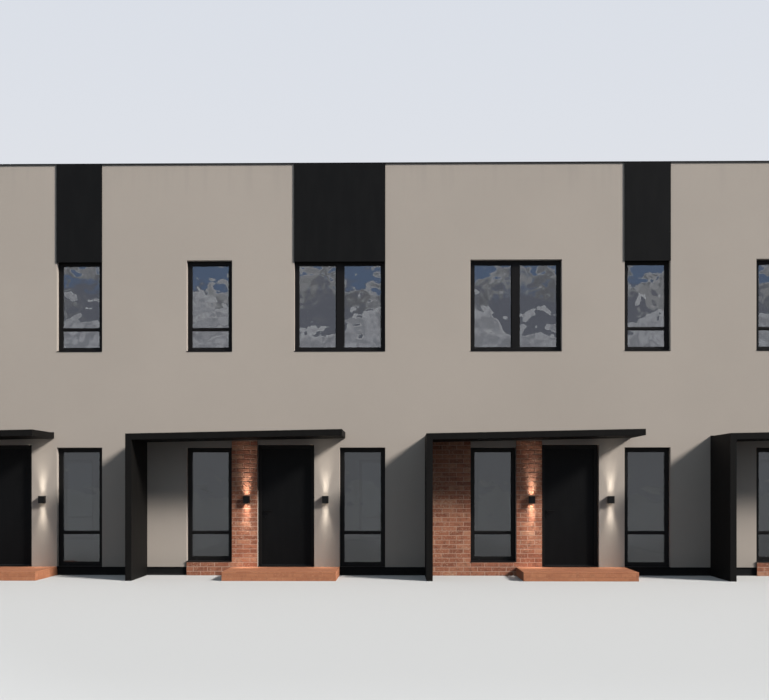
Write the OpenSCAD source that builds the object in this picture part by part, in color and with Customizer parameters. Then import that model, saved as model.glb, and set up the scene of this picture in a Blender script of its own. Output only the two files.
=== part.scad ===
// Row of four two-storey terraced houses with flat roofs, in millimetres.
// Two house plans alternate along the row. Every house has a porch of a side fin and a
// thin canopy, a brick facing beside the door, and a door that opens inwards.
// The origin is on the ground, at the middle of the row's outline; the front faces -Y.

/* [Row] */
// Width of one house, from party wall centre to party wall centre
house_width = 5000; // [4900:20:5600]
// Depth of the houses, from front plaster face to rear plaster face
house_depth = 9000; // [7500:100:12000]

/* [Storeys] */
// Height of the plinth, which is also the top of the raft
plinth_height = 150; // [120:5:200]
// Height of the ground storey, from the raft's top to the top of the upper floor's slab
ground_storey_height = 3000; // [2900:10:3400]
// Thickness of the upper floor's slab
floor_slab_thickness = 250; // [180:10:320]
// Clear height of the upper storey, from its slab to the roof slab
upper_clear_height = 2800; // [2600:10:3200]
// Thickness of the roof slab
roof_slab_thickness = 220; // [160:10:300]
// Thickness of the roof covering along the front parapet, where it is thickest
roof_covering_thickness = 450; // [300:10:520]
// Fall of the roof covering towards the rear, in percent
roof_fall = 2; // [1:0.5:3]
// Height of the parapet above the roof slab
parapet_height = 1087; // [700:1:1400]
// Thickness of the floor boards
floor_board_thickness = 20; // [14:1:26]

/* [Walls] */
// Thickness of the insulated plaster skin
skin_thickness = 100; // [80:5:160]
// Thickness of the block wall behind the skin
block_thickness = 250; // [200:10:365]
// Thickness of the party walls and of the row's two end walls
party_wall_thickness = 240; // [200:10:300]
// How far the floor slabs bear on the end walls
slab_bearing = 120; // [80:5:150]
// How far the plinth is set back from the plaster face
plinth_recess = 20; // [10:1:35]
// Thickness of the plinth boards on the raft's edge
plinth_board_thickness = 40; // [20:1:60]

/* [Openings] */
// Width of a ground floor window and of a single upper window
window_width = 800; // [700:10:900]
// Width of the door opening
door_opening_width = 1000; // [900:10:1100]
// Width of the wall pier between the door and the window on each side
pier_width = 450; // [400:10:500]
// Height of a tall ground floor window, from the plinth up
tall_window_height = 2100; // [1900:10:2200]
// Height of the shorter ground floor window's sill above the plinth
short_sill_height = 100; // [60:5:300]
// How far the door opening reaches above the ground floor windows' head
door_head_step = 50; // [20:5:100]
// Height of the upper windows' sill above their floor slab
upper_sill_height = 800; // [600:10:900]
// Height of the upper windows
upper_window_height = 1600; // [1400:10:1700]

/* [Windows] */
// Width of the window frame's face
frame_face = 76; // [50:1:90]
// Depth of the window and door frames
frame_depth = 80; // [70:1:100]
// Width of the middle post of a double window
mullion_width = 150; // [100:2:170]
// Height of the bar across a window
transom_height = 52; // [40:1:70]
// Height of the bar's centre in a ground floor window above the plinth
ground_transom_height = 600; // [500:10:900]
// Height of the bar's centre in a single upper window above its sill
upper_transom_height = 400; // [300:10:800]
// Face width of the glazing beads round each pane
bead_face = 16; // [10:1:18]
// How far the glazing beads are set back from the frame's face
bead_setback = 8; // [4:1:12]
// Thickness of the double glazing
glass_thickness = 24; // [20:1:32]
// How deep the glazing sits in the frame's groove
glass_cover = 15; // [10:1:22]
// Gap between the glazing's edge and the groove's floor
glass_edge_gap = 3; // [2:0.5:5]
// Thickness of a sill's sheet
sill_sheet = 4; // [3:0.5:6]
// How far a sill's nose stands out from the facing below it
sill_nose = 8; // [5:1:12]
// Height of a sill's turned-down nose
sill_drop = 14; // [10:1:20]

/* [Roof edge] */
// How far the coping stands out over each wall face
coping_overhang = 26; // [26:1:60]
// Height of the coping's edges
coping_drop = 14; // [12:1:50]
// Thickness of the coping's sheet
coping_sheet = 3; // [2:0.5:4]
// Width of the joints between the coping's lengths
coping_joint = 3; // [2:0.5:6]
// How far the dark panels above windows stand out from the plaster
panel_thickness = 22; // [10:1:22]
// How far a panel reaches past the window on each side
panel_side_cover = 3; // [2:1:30]
// How far a panel hangs in front of the window's head
panel_head_cover = 30; // [15:1:45]

/* [Porch] */
// How far the fins and canopies stand out from the plaster
porch_depth = 1100; // [900:10:1400]
// Thickness of the side fins
fin_thickness = 105; // [80:1:140]
// Thickness of the canopies
canopy_thickness = 105; // [80:1:120]
// Height of the canopy's underside, at the fin's outer face, above the door opening
canopy_headroom = 42; // [20:1:120]
// Rise of the canopy towards its free end, in percent
canopy_rise = 2; // [1:0.25:3]
// Distance from the house line to each canopy's free end, from left to right
canopy_reach = [3400, 3550, 3565, 3550];
// Width and depth of the drip groove under the canopy
drip_groove = [12, 8];
// Distance from the canopy's front and free end to the drip groove
drip_inset = 30; // [20:1:50]
// How far the entrance step stands out from the plaster
step_depth = 1100; // [800:10:1300]
// Thickness of the brick facing
brick_thickness = 30; // [20:1:60]

/* [Doors] */
// Width of the door frame's face beside and above the leaf
jamb_face = 45; // [35:1:60]
// How far the stop lip covers the leaf's edge, counted from the jamb's face
stop_lip = 20; // [15:1:30]
// Depth of the stop lip
stop_depth = 20; // [15:1:25]
// Height of the threshold
threshold_height = 20; // [15:1:30]
// Thickness of the sheet over the door reveal's floor, in front of the threshold
threshold_sheet = 4; // [3:0.5:6]
// How far the threshold's sheet stands out from the plaster over the step
threshold_nose = 20; // [10:1:28]
// Gap around the leaf at the hinges, the head, the stop and the threshold
leaf_gap = 5; // [4:0.5:8]
// Gap at the lock side, where the leaf's outer corner swings past the jamb
lock_gap = 8; // [8:0.5:12]
// Radius of a hinge's barrel
barrel_radius = 9; // [8:0.5:12]
// Radius of a hinge's pin
pin_radius = 5; // [4:0.5:6]
// Height of one half of a hinge
hinge_half = 50; // [40:1:70]
// Thickness of a hinge's plates
hinge_plate = 4; // [3:0.5:6]
// Width of a hinge's plates
hinge_plate_width = 36; // [30:1:38]
// Distance from the leaf's end to the outer hinges' middle
hinge_inset = 200; // [150:5:300]
// Height of the lever handle above the plinth
handle_height = 980; // [900:10:1100]
// Distance from the lever down to the lock cylinder
lock_drop = 90; // [72:1:92]
// Distance from the leaf's edge to the handle's axis
backset = 60; // [50:1:70]
// Radius of the round plates under the lever and the lock
rose_radius = 26; // [24:0.5:28]
// Radius of the lever
lever_radius = 9.5; // [7:0.5:11]
// Length of the lever
lever_length = 130; // [100:1:150]
// Distance from the leaf to the lever's axis
lever_standoff = 50; // [40:1:60]

/* [Wall lamps] */
// Width of a wall lamp
lamp_width = 106; // [70:1:140]
// Height of a wall lamp
lamp_height = 126; // [80:1:160]
// How far a wall lamp stands out from its wall
lamp_depth = 100; // [70:1:130]
// Height of a wall lamp's middle above the plinth
lamp_mount_height = 1184; // [1000:1:1600]
// Distance from the brick pier's middle to its lamp, towards the door
brick_lamp_shift = 42; // [0:1:100]
// Distance from the plaster pier's middle to its lamp, towards the door
plaster_lamp_shift = 24; // [0:1:100]
// Thickness of a lamp's casing
lamp_casing = 6; // [4:0.5:8]
// Depth of the light openings at a lamp's top and bottom
lamp_recess = 14; // [8:1:25]

/* [Hidden] */
$fn = 48;
house_count = 4;
// Cuts run this far past a face, so that none is left as a skin
past = 10;
// Running play between the two halves of a hinge, and around its pin
hinge_play = 0.3;
// Height of the solid cap over a hinge's bore
hinge_cap = 3;
// Thickness of the round plates under the lever and the lock
rose_thickness = 8;
// Depth of the wall plate behind a lamp, and how much smaller it is on each side
lamp_plate = [6, 15];
// How far the lock cylinder stands out of its round plate, and its radius
lock_nose = [3, 8.5];

black = [0.10, 0.10, 0.11];
plaster = [0.66, 0.63, 0.59];
brick = [0.66, 0.36, 0.26];
concrete = [0.72, 0.71, 0.69];
blockwork = [0.86, 0.85, 0.82];

// Levels above the ground
upper_floor_level = plinth_height + ground_storey_height;
slab_underside = upper_floor_level - floor_slab_thickness;
ceiling_level = upper_floor_level + upper_clear_height;
roof_slab_top = ceiling_level + roof_slab_thickness;
parapet_top = roof_slab_top + parapet_height;
row_height = parapet_top + coping_sheet;
short_sill_level = plinth_height + short_sill_height;
ground_head_level = plinth_height + tall_window_height;
ground_transom_level = plinth_height + ground_transom_height;
upper_sill_level = upper_floor_level + upper_sill_height;
upper_head_level = upper_sill_level + upper_window_height;
upper_transom_level = upper_sill_level + upper_transom_height;
door_head_level = ground_head_level + door_head_step;
canopy_level = door_head_level + canopy_headroom + canopy_thickness;
threshold_top = plinth_height + threshold_height;
handle_level = plinth_height + handle_height;
lamp_level = plinth_height + lamp_mount_height;

// Depths, counted from the front plaster face
wall = skin_thickness + block_thickness;
inner_depth = house_depth - wall;
frame_y = [skin_thickness, skin_thickness + frame_depth];
stop_y = frame_y[0] + stop_depth;
glass_y = frame_y[0] + (frame_depth - glass_thickness) / 2;
raft_edge = plinth_recess + plinth_board_thickness;

// Distances along the row
line = [for (i = [0:house_count]) (i - house_count / 2) * house_width];
row_half = house_count / 2 * house_width + party_wall_thickness / 2;
end_wall_inner = row_half - party_wall_thickness;

// Distances along one house, counted from its left house line
margin = (house_width - 2 * window_width - 2 * pier_width - door_opening_width) / 2;
short_x = [margin, margin + window_width];
door_x = [short_x[1] + pier_width, short_x[1] + pier_width + door_opening_width];
tall_x = [door_x[1] + pier_width, door_x[1] + pier_width + window_width];
left_double_x = [short_x[0], short_x[0] + 2 * window_width];
right_double_x = [tall_x[1] - 2 * window_width, tall_x[1]];

// The leaf and its hinge axis
leaf_x = [door_x[0] + jamb_face + lock_gap, door_x[1] - jamb_face - leaf_gap];
leaf_y = [stop_y + leaf_gap, frame_y[1]];
leaf_z = [threshold_top + leaf_gap, door_head_level - jamb_face - leaf_gap];
hinge_x = leaf_x[1] + leaf_gap / 2;
hinge_y = leaf_y[1] + leaf_gap + barrel_radius;
hinge_levels = [leaf_z[0] + hinge_inset, (leaf_z[0] + leaf_z[1]) / 2, leaf_z[1] - hinge_inset];
handle_x = leaf_x[0] + backset;

// The first house and every second one have brick right up to their fin
function has_brick_side(i) = i % 2 == 0;

// Upper windows of a house: the single one and the double one swap sides
function single_x(i) = has_brick_side(i) ? tall_x : short_x;
function double_x(i) = has_brick_side(i) ? left_double_x : right_double_x;
// The window on the right carries the dark panel
function panelled_x(i) = has_brick_side(i) ? single_x(i) : double_x(i);

// Top and underside of the canopy at a distance from the house line
function canopy_top(x) = canopy_level + canopy_rise / 100 * (x + fin_thickness / 2);
function soffit(x) = canopy_top(x) - canopy_thickness;

// A box from its spans along X, Y and Z
module block(x, y, z) {
    translate([x[0], y[0], z[0]])
        cube([x[1] - x[0], y[1] - y[0], z[1] - z[0]]);
}

// Places children drawn from the front plaster face in the row's frame
module in_row() {
    translate([0, (porch_depth - house_depth - coping_overhang) / 2, 0])
        children();
}

// Places children drawn for one house, with the house's number in $house
module at_house(i) {
    $house = i;
    translate([line[i], 0, 0])
        children();
}

module at_each_house() {
    for (i = [0:house_count - 1])
        at_house(i)
            children();
}

// Turns children drawn for the front to the rear, at the same place along the row
module at_rear() {
    translate([0, house_depth, 0])
        mirror([0, 1, 0])
            children();
}

// A sheet of facing under the canopy, from the ground to the sloped soffit
module facing_to_soffit(x) {
    outline = [[x[0], 0], [x[1], 0], [x[1], soffit(x[1])], [x[0], soffit(x[0])]];
    rotate([90, 0, 0])
        linear_extrude(brick_thickness)
            polygon(outline);
    block(x, [0, plinth_recess], [0, plinth_height]);
}

// Holes for the windows, through a wall layer from y[0] to y[1]
module ground_window_holes(y, left_sill) {
    deep = [y[0] - past, y[1] + past];
    at_each_house() {
        block(short_x, deep, [left_sill, ground_head_level]);
        block(tall_x, deep, [plinth_height - past, ground_head_level]);
    }
}

module upper_window_holes(y) {
    deep = [y[0] - past, y[1] + past];
    for (i = [0:house_count - 1])
        for (x = [single_x(i), double_x(i)])
            at_house(i)
                block(x, deep, [upper_sill_level, upper_head_level]);
}

module door_holes(y, z) {
    at_each_house()
        block(door_x, [y[0] - past, y[1] + past], z);
}

// Clear spans of the glass in a window with one bar across, and with one post
function barred_panes(x, z, level) = [
    [[x[0] + frame_face, x[1] - frame_face], [z[0] + frame_face, level - transom_height / 2]],
    [[x[0] + frame_face, x[1] - frame_face], [level + transom_height / 2, z[1] - frame_face]]
];
function double_panes(x, z) =
    let (middle = (x[0] + x[1]) / 2, clear = [z[0] + frame_face, z[1] - frame_face]) [
        [[x[0] + frame_face, middle - mullion_width / 2], clear],
        [[middle + mullion_width / 2, x[1] - frame_face], clear]
    ];
function grown(span, by) = [span[0] - by, span[1] + by];

module window_frame(x, z, panes) {
    difference() {
        block(x, frame_y, z);
        for (pane = panes) {
            block(pane[0], grown(frame_y, past), pane[1]);
            block(grown(pane[0], bead_face), [frame_y[0] - past, frame_y[0] + bead_setback],
                  grown(pane[1], bead_face));
            block(grown(pane[0], glass_cover), [glass_y, glass_y + glass_thickness],
                  grown(pane[1], glass_cover));
        }
    }
}

module window_glass(panes) {
    for (pane = panes)
        block(grown(pane[0], glass_cover - glass_edge_gap), [glass_y, glass_y + glass_thickness],
              grown(pane[1], glass_cover - glass_edge_gap));
}

short_z = [short_sill_level, ground_head_level];
tall_z = [plinth_height, ground_head_level];
upper_z = [upper_sill_level, upper_head_level];

module ground_frames(left_z) {
    at_each_house() {
        window_frame(short_x, left_z, barred_panes(short_x, left_z, ground_transom_level));
        window_frame(tall_x, tall_z, barred_panes(tall_x, tall_z, ground_transom_level));
    }
}

module ground_glass(left_z) {
    at_each_house() {
        window_glass(barred_panes(short_x, left_z, ground_transom_level));
        window_glass(barred_panes(tall_x, tall_z, ground_transom_level));
    }
}

module upper_frames() {
    for (i = [0:house_count - 1])
        at_house(i) {
            window_frame(single_x(i), upper_z,
                         barred_panes(single_x(i), upper_z, upper_transom_level));
            window_frame(double_x(i), upper_z, double_panes(double_x(i), upper_z));
        }
}

module upper_glass() {
    for (i = [0:house_count - 1])
        at_house(i) {
            window_glass(barred_panes(single_x(i), upper_z, upper_transom_level));
            window_glass(double_panes(double_x(i), upper_z));
        }
}

// One sill: a sheet in the reveal with its nose turned down in front of the facing
module sill(x, level, facing) {
    block(x, [-facing - sill_nose, skin_thickness], [level, level + sill_sheet]);
    block(x, [-facing - sill_nose, -facing - sill_nose + sill_sheet],
          [level + sill_sheet - sill_drop, level + sill_sheet]);
}

// Ground and base

module foundation_raft() {
    color(concrete) in_row()
        block([-row_half + raft_edge, row_half - raft_edge],
              [raft_edge, house_depth - raft_edge], [0, plinth_height]);
}

module plinth_boards() {
    color(black) in_row()
        difference() {
            block([-row_half + plinth_recess, row_half - plinth_recess],
                  [plinth_recess, house_depth - plinth_recess], [0, plinth_height]);
            block([-row_half + raft_edge, row_half - raft_edge],
                  [raft_edge, house_depth - raft_edge], [-past, plinth_height + past]);
        }
}

module floor_boards() {
    room_x = [party_wall_thickness / 2, house_width - party_wall_thickness / 2];
    color([0.66, 0.50, 0.34]) in_row()
        at_each_house() {
            for (level = [plinth_height, upper_floor_level])
                block(room_x, [wall, inner_depth], [level, level + floor_board_thickness]);
            block(door_x, [frame_y[1], wall], [plinth_height, plinth_height + floor_board_thickness]);
        }
}

// Carcass

module party_walls(z) {
    half = party_wall_thickness / 2;
    for (i = [1:house_count - 1])
        block([line[i] - half, line[i] + half], [wall, inner_depth], z);
}

module ground_party_walls() {
    color(blockwork) in_row()
        party_walls([plinth_height, slab_underside]);
}

module upper_party_walls() {
    color(blockwork) in_row()
        party_walls([upper_floor_level, ceiling_level]);
}

module end_walls() {
    layer_y = [skin_thickness, house_depth - skin_thickness];
    pocket_x = [end_wall_inner - past, end_wall_inner + slab_bearing];
    color(plaster) in_row()
        for (side = [0, 1])
            mirror([side, 0, 0])
                difference() {
                    block([end_wall_inner, row_half], layer_y, [plinth_height, parapet_top]);
                    block(pocket_x, grown(layer_y, past), [slab_underside, upper_floor_level]);
                    block(pocket_x, grown(layer_y, past), [ceiling_level, roof_slab_top]);
                }
}

// A layer of block wall between the end walls, on the front
module block_layer(z) {
    block([-end_wall_inner, end_wall_inner], [skin_thickness, wall], z);
}

module front_blockwork_ground() {
    color(blockwork) in_row()
        difference() {
            block_layer([plinth_height, ground_head_level]);
            ground_window_holes([skin_thickness, wall], short_sill_level);
            door_holes([skin_thickness, wall], [plinth_height - past, ground_head_level + past]);
        }
}

module rear_blockwork_ground() {
    color(blockwork) in_row() at_rear()
        difference() {
            block_layer([plinth_height, ground_head_level]);
            ground_window_holes([skin_thickness, wall], plinth_height - past);
        }
}

module ring_beams() {
    color(concrete) in_row() {
        difference() {
            block_layer([ground_head_level, slab_underside]);
            door_holes([skin_thickness, wall], [ground_head_level - past, door_head_level]);
        }
        at_rear()
            block_layer([ground_head_level, slab_underside]);
    }
}

module storey_blockwork_upper() {
    difference() {
        block_layer([upper_floor_level, ceiling_level]);
        upper_window_holes([skin_thickness, wall]);
    }
}

module front_blockwork_upper() {
    color(blockwork) in_row()
        storey_blockwork_upper();
}

module rear_blockwork_upper() {
    color(blockwork) in_row() at_rear()
        storey_blockwork_upper();
}

module slab(z) {
    reach = end_wall_inner + slab_bearing;
    block([-reach, reach], [skin_thickness, house_depth - skin_thickness], z);
}

module upper_floor_slab() {
    color(concrete) in_row()
        slab([slab_underside, upper_floor_level]);
}

module roof_slab() {
    color(concrete) in_row()
        slab([ceiling_level, roof_slab_top]);
}

module roof_covering() {
    thin_edge = roof_covering_thickness - roof_fall / 100 * (inner_depth - wall);
    outline = [[wall, roof_slab_top], [inner_depth, roof_slab_top],
               [inner_depth, roof_slab_top + thin_edge],
               [wall, roof_slab_top + roof_covering_thickness]];
    color([0.22, 0.22, 0.23]) in_row()
        translate([-end_wall_inner, 0, 0])
            rotate([90, 0, 90])
                linear_extrude(2 * end_wall_inner)
                    polygon(outline);
}

module parapet_blockwork() {
    color(blockwork) in_row() {
        block_layer([roof_slab_top, parapet_top]);
        at_rear()
            block_layer([roof_slab_top, parapet_top]);
    }
}

// Plaster skin

module front_plaster_ground() {
    layer_y = [0, skin_thickness];
    color(plaster) in_row()
        difference() {
            block([-row_half, row_half], layer_y, [plinth_height, door_head_level]);
            ground_window_holes(layer_y, short_sill_level);
            door_holes(layer_y, [plinth_height - past, door_head_level + past]);
        }
}

module front_plaster_upper() {
    layer_y = [0, skin_thickness];
    color(plaster) in_row()
        difference() {
            block([-row_half, row_half], layer_y, [door_head_level, parapet_top]);
            upper_window_holes(layer_y);
        }
}

module rear_plaster() {
    layer_y = [0, skin_thickness];
    color(plaster) in_row() at_rear()
        difference() {
            block([-row_half, row_half], layer_y, [plinth_height, parapet_top]);
            ground_window_holes(layer_y, plinth_height - past);
            upper_window_holes(layer_y);
        }
}

// Roof edge

// The folded sheet all round the roof, before it is cut into lengths
module coping_ring() {
    outer_x = row_half + coping_overhang;
    inner_x = end_wall_inner - coping_overhang;
    outer_y = [-coping_overhang, house_depth + coping_overhang];
    inner_y = [wall + coping_overhang, inner_depth - coping_overhang];
    edge = [row_height - coping_drop, row_height];
    under = [edge[0] - past, parapet_top];
    difference() {
        block([-outer_x, outer_x], outer_y, edge);
        block([-inner_x, inner_x], inner_y, grown(edge, past));
        difference() {
            block(grown([-outer_x, outer_x], -coping_sheet), grown(outer_y, -coping_sheet), under);
            block(grown([-inner_x, inner_x], coping_sheet), grown(inner_y, coping_sheet),
                  grown(under, past));
        }
    }
}

// A mitre cut across the right front corner of the coping
module coping_mitre() {
    run = [party_wall_thickness + 2 * coping_overhang, wall + 2 * coping_overhang];
    translate([row_half + coping_overhang, -coping_overhang, 0])
        rotate([0, 0, atan2(run[1], -run[0])])
            block([-past, norm(run) + past], [-coping_joint / 2, coping_joint / 2],
                  grown([row_height - coping_drop, row_height], past));
}

module coping_cross_cut(x) {
    block([x - coping_joint / 2, x + coping_joint / 2],
          [-coping_overhang - past, wall + coping_overhang + past],
          grown([row_height - coping_drop, row_height], past));
}

module copings() {
    color(black) in_row()
        difference() {
            coping_ring();
            for (side = [0, 1])
                mirror([side, 0, 0]) {
                    coping_mitre();
                    at_rear()
                        coping_mitre();
                }
            for (i = [1:house_count - 1]) {
                coping_cross_cut(line[i]);
                at_rear()
                    coping_cross_cut(line[i]);
            }
        }
}

module window_head_panels() {
    color(black) in_row()
        for (i = [0:house_count - 1])
            at_house(i)
                block(grown(panelled_x(i), panel_side_cover), [-panel_thickness, 0],
                      [upper_head_level - panel_head_cover, parapet_top]);
}

// Windows

module front_ground_window_frames() {
    color(black) in_row()
        ground_frames(short_z);
}

module front_ground_window_glass() {
    color([0.55, 0.62, 0.68, 0.5]) in_row()
        ground_glass(short_z);
}

module front_upper_window_frames() {
    color(black) in_row()
        upper_frames();
}

module front_upper_window_glass() {
    color([0.55, 0.62, 0.68, 0.5]) in_row()
        upper_glass();
}

module rear_window_frames() {
    color(black) in_row() at_rear() {
        ground_frames(tall_z);
        upper_frames();
    }
}

module rear_window_glass() {
    color([0.55, 0.62, 0.68, 0.5]) in_row() at_rear() {
        ground_glass(tall_z);
        upper_glass();
    }
}

module upper_sills() {
    for (i = [0:house_count - 1])
        for (x = [single_x(i), double_x(i)])
            at_house(i)
                sill(x, upper_sill_level, 0);
}

module window_sills() {
    color(black) in_row() {
        at_each_house() {
            sill(short_x, short_sill_level, brick_thickness);
            sill(tall_x, plinth_height, 0);
        }
        upper_sills();
        at_rear() {
            at_each_house() {
                sill(short_x, plinth_height, 0);
                sill(tall_x, plinth_height, 0);
            }
            upper_sills();
        }
    }
}

// Porch

module porch_fins() {
    half = fin_thickness / 2;
    outline = [[-half, 0], [half, 0], [half, soffit(half)], [-half, canopy_top(-half)]];
    color(black) in_row()
        at_each_house()
            rotate([90, 0, 0])
                linear_extrude(porch_depth)
                    polygon(outline);
}

// A cut along the soffit from x[0] to x[1], over the depths y, as deep as the drip groove
module soffit_groove(x, y) {
    outline = [[x[0], soffit(x[0]) - past], [x[1], soffit(x[1]) - past],
               [x[1], soffit(x[1]) + drip_groove[1]], [x[0], soffit(x[0]) + drip_groove[1]]];
    translate([0, y[1], 0])
        rotate([90, 0, 0])
            linear_extrude(y[1] - y[0])
                polygon(outline);
}

module porch_canopy(reach) {
    half = fin_thickness / 2;
    outline = [[half, soffit(half)], [reach, soffit(reach)], [reach, canopy_top(reach)],
               [-half, canopy_top(-half)]];
    groove_x = reach - drip_inset - drip_groove[0];
    groove_y = drip_inset + drip_groove[0] - porch_depth;
    difference() {
        rotate([90, 0, 0])
            linear_extrude(porch_depth)
                polygon(outline);
        soffit_groove([half, reach - drip_inset], [drip_inset - porch_depth, groove_y]);
        soffit_groove([groove_x, reach - drip_inset], [groove_y - past, past]);
    }
}

module porch_canopies() {
    color(black) in_row()
        for (i = [0:house_count - 1])
            at_house(i)
                porch_canopy(canopy_reach[i]);
}

module entrance_steps() {
    color([0.80, 0.45, 0.30]) in_row()
        at_each_house() {
            block([short_x[1], tall_x[0]], [-step_depth, -brick_thickness], [0, plinth_height]);
            block([door_x[0], tall_x[0]], [-brick_thickness - past, plinth_recess],
                  [0, plinth_height]);
        }
}

module brick_piers() {
    color(brick) in_row()
        at_each_house()
            facing_to_soffit([short_x[1], door_x[0]]);
}

module brick_aprons() {
    color(brick) in_row()
        at_each_house() {
            block(short_x, [-brick_thickness, 0], [0, short_sill_level]);
            block(short_x, [0, plinth_recess], [0, plinth_height]);
        }
}

module brick_side_panels() {
    color(brick) in_row()
        for (i = [0:house_count - 1])
            if (has_brick_side(i))
                at_house(i)
                    facing_to_soffit([fin_thickness / 2, short_x[0]]);
}

module wall_lamp(x, facing) {
    plate_x = grown([x - lamp_width / 2, x + lamp_width / 2], -lamp_plate[1]);
    body_x = [x - lamp_width / 2, x + lamp_width / 2];
    body_y = [-facing - lamp_depth, -facing - lamp_plate[0]];
    body_z = [lamp_level - lamp_height / 2, lamp_level + lamp_height / 2];
    block(plate_x, [-facing - lamp_plate[0] - past, -facing], grown(body_z, -lamp_plate[1]));
    difference() {
        block(body_x, body_y, body_z);
        for (z = [[body_z[0] - past, body_z[0] + lamp_recess],
                  [body_z[1] - lamp_recess, body_z[1] + past]])
            block(grown(body_x, -lamp_casing), grown(body_y, -lamp_casing), z);
    }
}

module wall_lamps() {
    color(black) in_row()
        at_each_house() {
            wall_lamp((short_x[1] + door_x[0]) / 2 + brick_lamp_shift, brick_thickness);
            wall_lamp((door_x[1] + tall_x[0]) / 2 - plaster_lamp_shift, 0);
        }
}

// Doors

module door_frames() {
    lip = jamb_face + stop_lip;
    frame_z = [threshold_top, door_head_level];
    color(black) in_row()
        at_each_house()
            difference() {
                block(door_x, frame_y, frame_z);
                block(grown(door_x, -lip), grown(frame_y, past),
                      [threshold_top - past, door_head_level - lip]);
                block(grown(door_x, -jamb_face), [stop_y, frame_y[1] + past],
                      [threshold_top - past, door_head_level - jamb_face]);
            }
}

module door_thresholds() {
    color(black) in_row()
        at_each_house() {
            block(door_x, frame_y, [plinth_height, threshold_top]);
            block(door_x, [-threshold_nose, frame_y[1]],
                  [plinth_height, plinth_height + threshold_sheet]);
        }
}

// The frame's half of a hinge: a plate on the jamb, a barrel and the pin
module hinge_frame_half(level) {
    plate_x = door_x[1] - jamb_face;
    z = [level - hinge_half, level];
    translate([hinge_x, hinge_y, z[0]])
        cylinder(r = barrel_radius, h = hinge_half);
    translate([hinge_x, hinge_y, level - past])
        cylinder(r = pin_radius, h = hinge_half + past - hinge_cap - hinge_play);
    block([plate_x, plate_x + hinge_plate_width], [frame_y[1], frame_y[1] + hinge_plate], z);
    block([plate_x, hinge_x + barrel_radius], [frame_y[1], hinge_y], z);
}

// The leaf's half of a hinge: a plate on the leaf and a barrel with the bore
module hinge_leaf_half(level) {
    z = [level + hinge_play, level + hinge_half];
    difference() {
        union() {
            translate([hinge_x, hinge_y, z[0]])
                cylinder(r = barrel_radius, h = z[1] - z[0]);
            block([leaf_x[1] - hinge_plate_width, leaf_x[1]],
                  [leaf_y[1], leaf_y[1] + hinge_plate], z);
            block([hinge_x - barrel_radius, leaf_x[1]], [leaf_y[1], hinge_y], z);
        }
        translate([hinge_x, hinge_y, z[0] - past])
            cylinder(r = pin_radius + hinge_play, h = z[1] - z[0] + past - hinge_cap);
    }
}

module door_hinge_pins() {
    color(black) in_row()
        at_each_house()
            for (level = hinge_levels)
                hinge_frame_half(level);
}

// Lever and lock on one face of the leaf, drawn on the plane y = 0 and standing out to -Y
module door_furniture() {
    rotate([90, 0, 0]) {
        for (level = [handle_level, handle_level - lock_drop])
            translate([0, level, 0])
                cylinder(r = rose_radius, h = rose_thickness);
        translate([0, handle_level - lock_drop, 0])
            cylinder(r = lock_nose[1], h = rose_thickness + lock_nose[0]);
        translate([0, handle_level, 0])
            cylinder(r = lever_radius, h = lever_standoff);
    }
    translate([0, -lever_standoff, handle_level]) {
        sphere(r = lever_radius);
        rotate([0, 90, 0])
            cylinder(r = lever_radius, h = lever_length);
    }
}

module door_leaf(i) {
    color(black) in_row() at_house(i)
        block(leaf_x, leaf_y, leaf_z);
}

module door_fittings(i) {
    color(black) in_row() at_house(i) {
        translate([handle_x, leaf_y[0], 0])
            door_furniture();
        translate([handle_x, leaf_y[1], 0])
            mirror([0, 1, 0])
                door_furniture();
        for (level = hinge_levels)
            hinge_leaf_half(level);
    }
}

foundation_raft();
plinth_boards();
floor_boards();
ground_party_walls();
end_walls();
front_blockwork_ground();
rear_blockwork_ground();
ring_beams();
upper_floor_slab();
upper_party_walls();
front_blockwork_upper();
rear_blockwork_upper();
roof_slab();
roof_covering();
parapet_blockwork();
front_plaster_ground();
front_plaster_upper();
rear_plaster();
copings();
window_head_panels();
front_ground_window_frames();
front_ground_window_glass();
front_upper_window_frames();
front_upper_window_glass();
rear_window_frames();
rear_window_glass();
window_sills();
porch_fins();
porch_canopies();
entrance_steps();
brick_piers();
brick_aprons();
brick_side_panels();
door_frames();
door_thresholds();
door_hinge_pins();
wall_lamps();
door_leaf(0);  // house_1_door_leaf
door_fittings(0);  // house_1_door_fittings
door_leaf(1);  // house_2_door_leaf
door_fittings(1);  // house_2_door_fittings
door_leaf(2);  // house_3_door_leaf
door_fittings(2);  // house_3_door_fittings
door_leaf(3);  // house_4_door_leaf
door_fittings(3);  // house_4_door_fittings
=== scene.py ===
# Looks of the terraced house row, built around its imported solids, in metres.
# The row stands on z = 0 with its street front facing -Y, and x runs along the row.
import math
import random

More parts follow.
